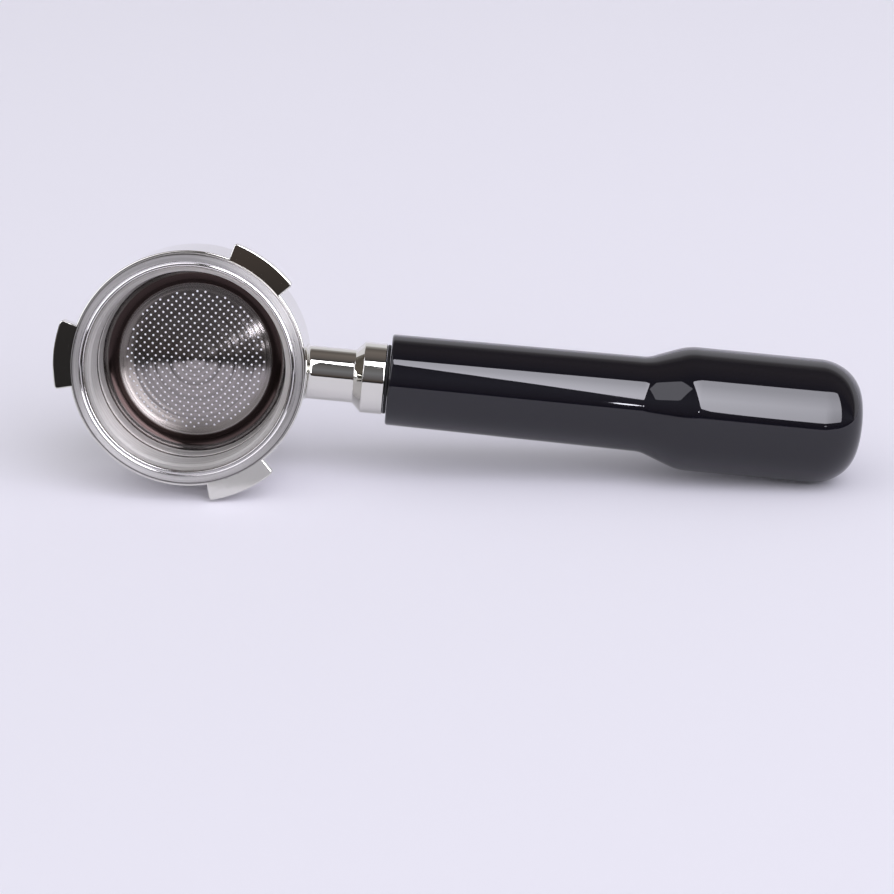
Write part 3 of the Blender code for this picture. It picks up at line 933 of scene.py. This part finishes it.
def facing(centre, towards, width, height):
    """Corners of an upright panel at a place, square to the way it faces."""
    centre = Vector(centre)
    forward = (Vector(towards) - centre).normalized()
    side = forward.cross(Vector((0, 0, 1))).normalized()
    up = side.cross(forward)
    corners = ((-1, -1), (1, -1), (1, 1), (-1, 1))
    return [centre + side * (width / 2 * a) + up * (height / 2 * b) for a, b in corners]


def make_lights():
    """A tall softbox at the front right, a square one on its corner high at the left, two small low lamps."""
    key = [(0.245, -1.0, 0.24), (1.15, -0.85, 0.24), (1.05, -0.24, 1.25), (-0.03, -0.38, 1.02)]
    daylight = (0.97, 0.96, 1.06, 1.0)
    falloff = (1.45, 1.12, 0.98, 0.94, 0.92)
    bulge = (0.88, 0.98, 1.12, 1.05, 0.92, 0.90)
    shine = glowing("softbox_cloth", daylight, 5.9, falloff, bulge)
    lamp("softbox", key, shine, 0.06)
    # the floor is lit by the same softbox, three times as far off and as large, so that it's lit evenly
    throw = glowing("softbox_throw_cloth", daylight, 2.6)
    lamp("softbox_throw", [Vector(corner) * 3.0 for corner in key], throw, 0.06, diffuse=True, glossy=False)
    tip = Vector((-0.050, -0.617, 0.905))
    size = 1.7
    up_side = Vector((-0.382, 0.45, 0.035)) * size
    low_side = Vector((-0.39, -0.104, -0.365)) * size
    left_cloth = glowing("left_softbox_cloth", daylight, 1.9)
    lamp("left_softbox", (tip, tip + low_side, tip + low_side + up_side, tip + up_side), left_cloth, 0.03)
    spot = glowing("spot_cloth", daylight, 24.0)
    lamp("slim_lamp", facing((0.150, -0.98, 0.24), (0.04, -0.01, 0.03), 0.018, 0.05), spot, 0.45)
    far = glowing("far_lamp_cloth", daylight, 6.0)
    lamp("far_lamp", facing((1.37, -4.76, 0.66), (-0.07, -0.01, 0.03), 0.35, 0.10), far, 0.3)


def make_world():
    """The room, which only shows in reflections: dark low down in front, dim and warm overhead, pale behind.
    Dull surfaces get an even pale light from the front, as from a wide white window."""
    world = bpy.data.worlds.new("studio_room")
    bpy.context.scene.world = world
    world.cycles.sampling_method = "NONE"
    world.use_nodes = True
    tree = world.node_tree
    tree.nodes.clear()
    where = add(tree, "ShaderNodeTexCoord")
    parts = add(tree, "ShaderNodeSeparateXYZ", {"Vector": where.outputs["Generated"]})
    front = add(tree, "ShaderNodeMath", {0: parts.outputs["Y"], 1: -1.0}, operation="MULTIPLY")
    lift = add(tree, "ShaderNodeMath", {0: parts.outputs["Z"], 1: front.outputs[0]}, operation="ARCTAN2")
    share = add(tree, "ShaderNodeMath", {0: lift.outputs[0], 1: math.pi}, operation="DIVIDE")
    # degrees up from the front horizon, over the top and down behind
    by_degrees = [(0, (0.022, 0.021, 0.023, 1)), (4, (0.028, 0.026, 0.027, 1)), (6, (0.07, 0.055, 0.05, 1)),
                  (10, (0.10, 0.09, 0.09, 1)), (14, (0.13, 0.12, 0.13, 1)), (30, (0.20, 0.20, 0.22, 1)),
                  (50, (0.14, 0.135, 0.14, 1)), (56, (0.07, 0.07, 0.07, 1)), (76, (0.08, 0.075, 0.075, 1)),
                  (88, (0.15, 0.13, 0.125, 1)), (106, (0.19, 0.165, 0.155, 1)), (122, (0.13, 0.115, 0.11, 1)),
                  (134, (0.35, 0.33, 0.33, 1)), (141, (0.80, 0.79, 0.84, 1)), (180, (0.82, 0.80, 0.88, 1))]
    room = add(tree, "ShaderNodeValToRGB", {"Fac": share.outputs[0]},
               stops=[(degrees / 180, colour) for degrees, colour in by_degrees])
    ray = add(tree, "ShaderNodeLightPath").outputs
    dull = add(tree, "ShaderNodeMath",
               {0: ray["Is Camera Ray"], 1: ray["Is Diffuse Ray"]}, operation="MAXIMUM")
    window = add(tree, "ShaderNodeValToRGB", {"Fac": share.outputs[0]},
                 stops=[(0.35, grey(1.0)), (0.55, grey(0.5)), (0.75, grey(0.35))])
    seen = add(tree, "ShaderNodeMix", {
        "Factor": ray["Is Camera Ray"], "A": window.outputs["Color"], "B": grey(0.78),
    }, data_type="RGBA")
    pale = add(tree, "ShaderNodeBackground", {"Color": seen.outputs["Result"], "Strength": 1.05})
    dim = add(tree, "ShaderNodeBackground", {"Color": room.outputs["Color"], "Strength": 1.0})
    both = add(tree, "ShaderNodeMixShader", {"Fac": dull.outputs[0], 1: dim.outputs[0], 2: pale.outputs[0]})
    add(tree, "ShaderNodeOutputWorld", {"Surface": both.outputs[0]})


def make_camera():
    """Level with the counter's near side, looking down at the part at about 19 degrees."""
    data = bpy.data.cameras.new("camera")
    data.sensor_width = 36.0
    data.lens = 90.87
    data.clip_start = 0.01
    camera = bpy.data.objects.new("camera", data)
    bpy.context.scene.collection.objects.link(camera)
    camera.location = (-0.00421, -0.58441, 0.2087)
    looking = Vector((-0.00038, 0.94655, -0.32254)).normalized()
    level = looking.to_track_quat("-Z", "Y").to_matrix().to_4x4()
    roll = Matrix.Rotation(math.radians(0.667), 4, "Z")
    camera.rotation_euler = (level @ roll).to_euler()
    bpy.context.scene.camera = camera


def build():
    bright = chrome_plate("chrome_plate_ring", 0.02, 0.03)
    mirror = chrome_plate("chrome_plate_neck", 0.025, 0.08)
    steel = machined_metal("zinc_plated_steel", "9A9B98", "B9BAB6", 0.28, 0.42)
    brass = machined_metal("turned_brass", "A8803C", "D2AC5E", 0.25, 0.40)
    wire = machined_metal("drawn_spring_wire", "8E8D8B", "B4B3B0", 0.18, 0.30)
    make_ring(bright)
    make_neck(mirror)
    make_washer(nitrile_rubber())
    make_grip(moulded_phenolic())
    make_stud(steel)
    make_insert(brass)
    make_spring(wire)
    make_basket(spun_stainless())
    make_floor()
    make_lights()
    make_world()
    make_camera()
    bpy.context.scene.view_settings.view_transform = "Standard"


build()
bpy.context.view_layer.update()
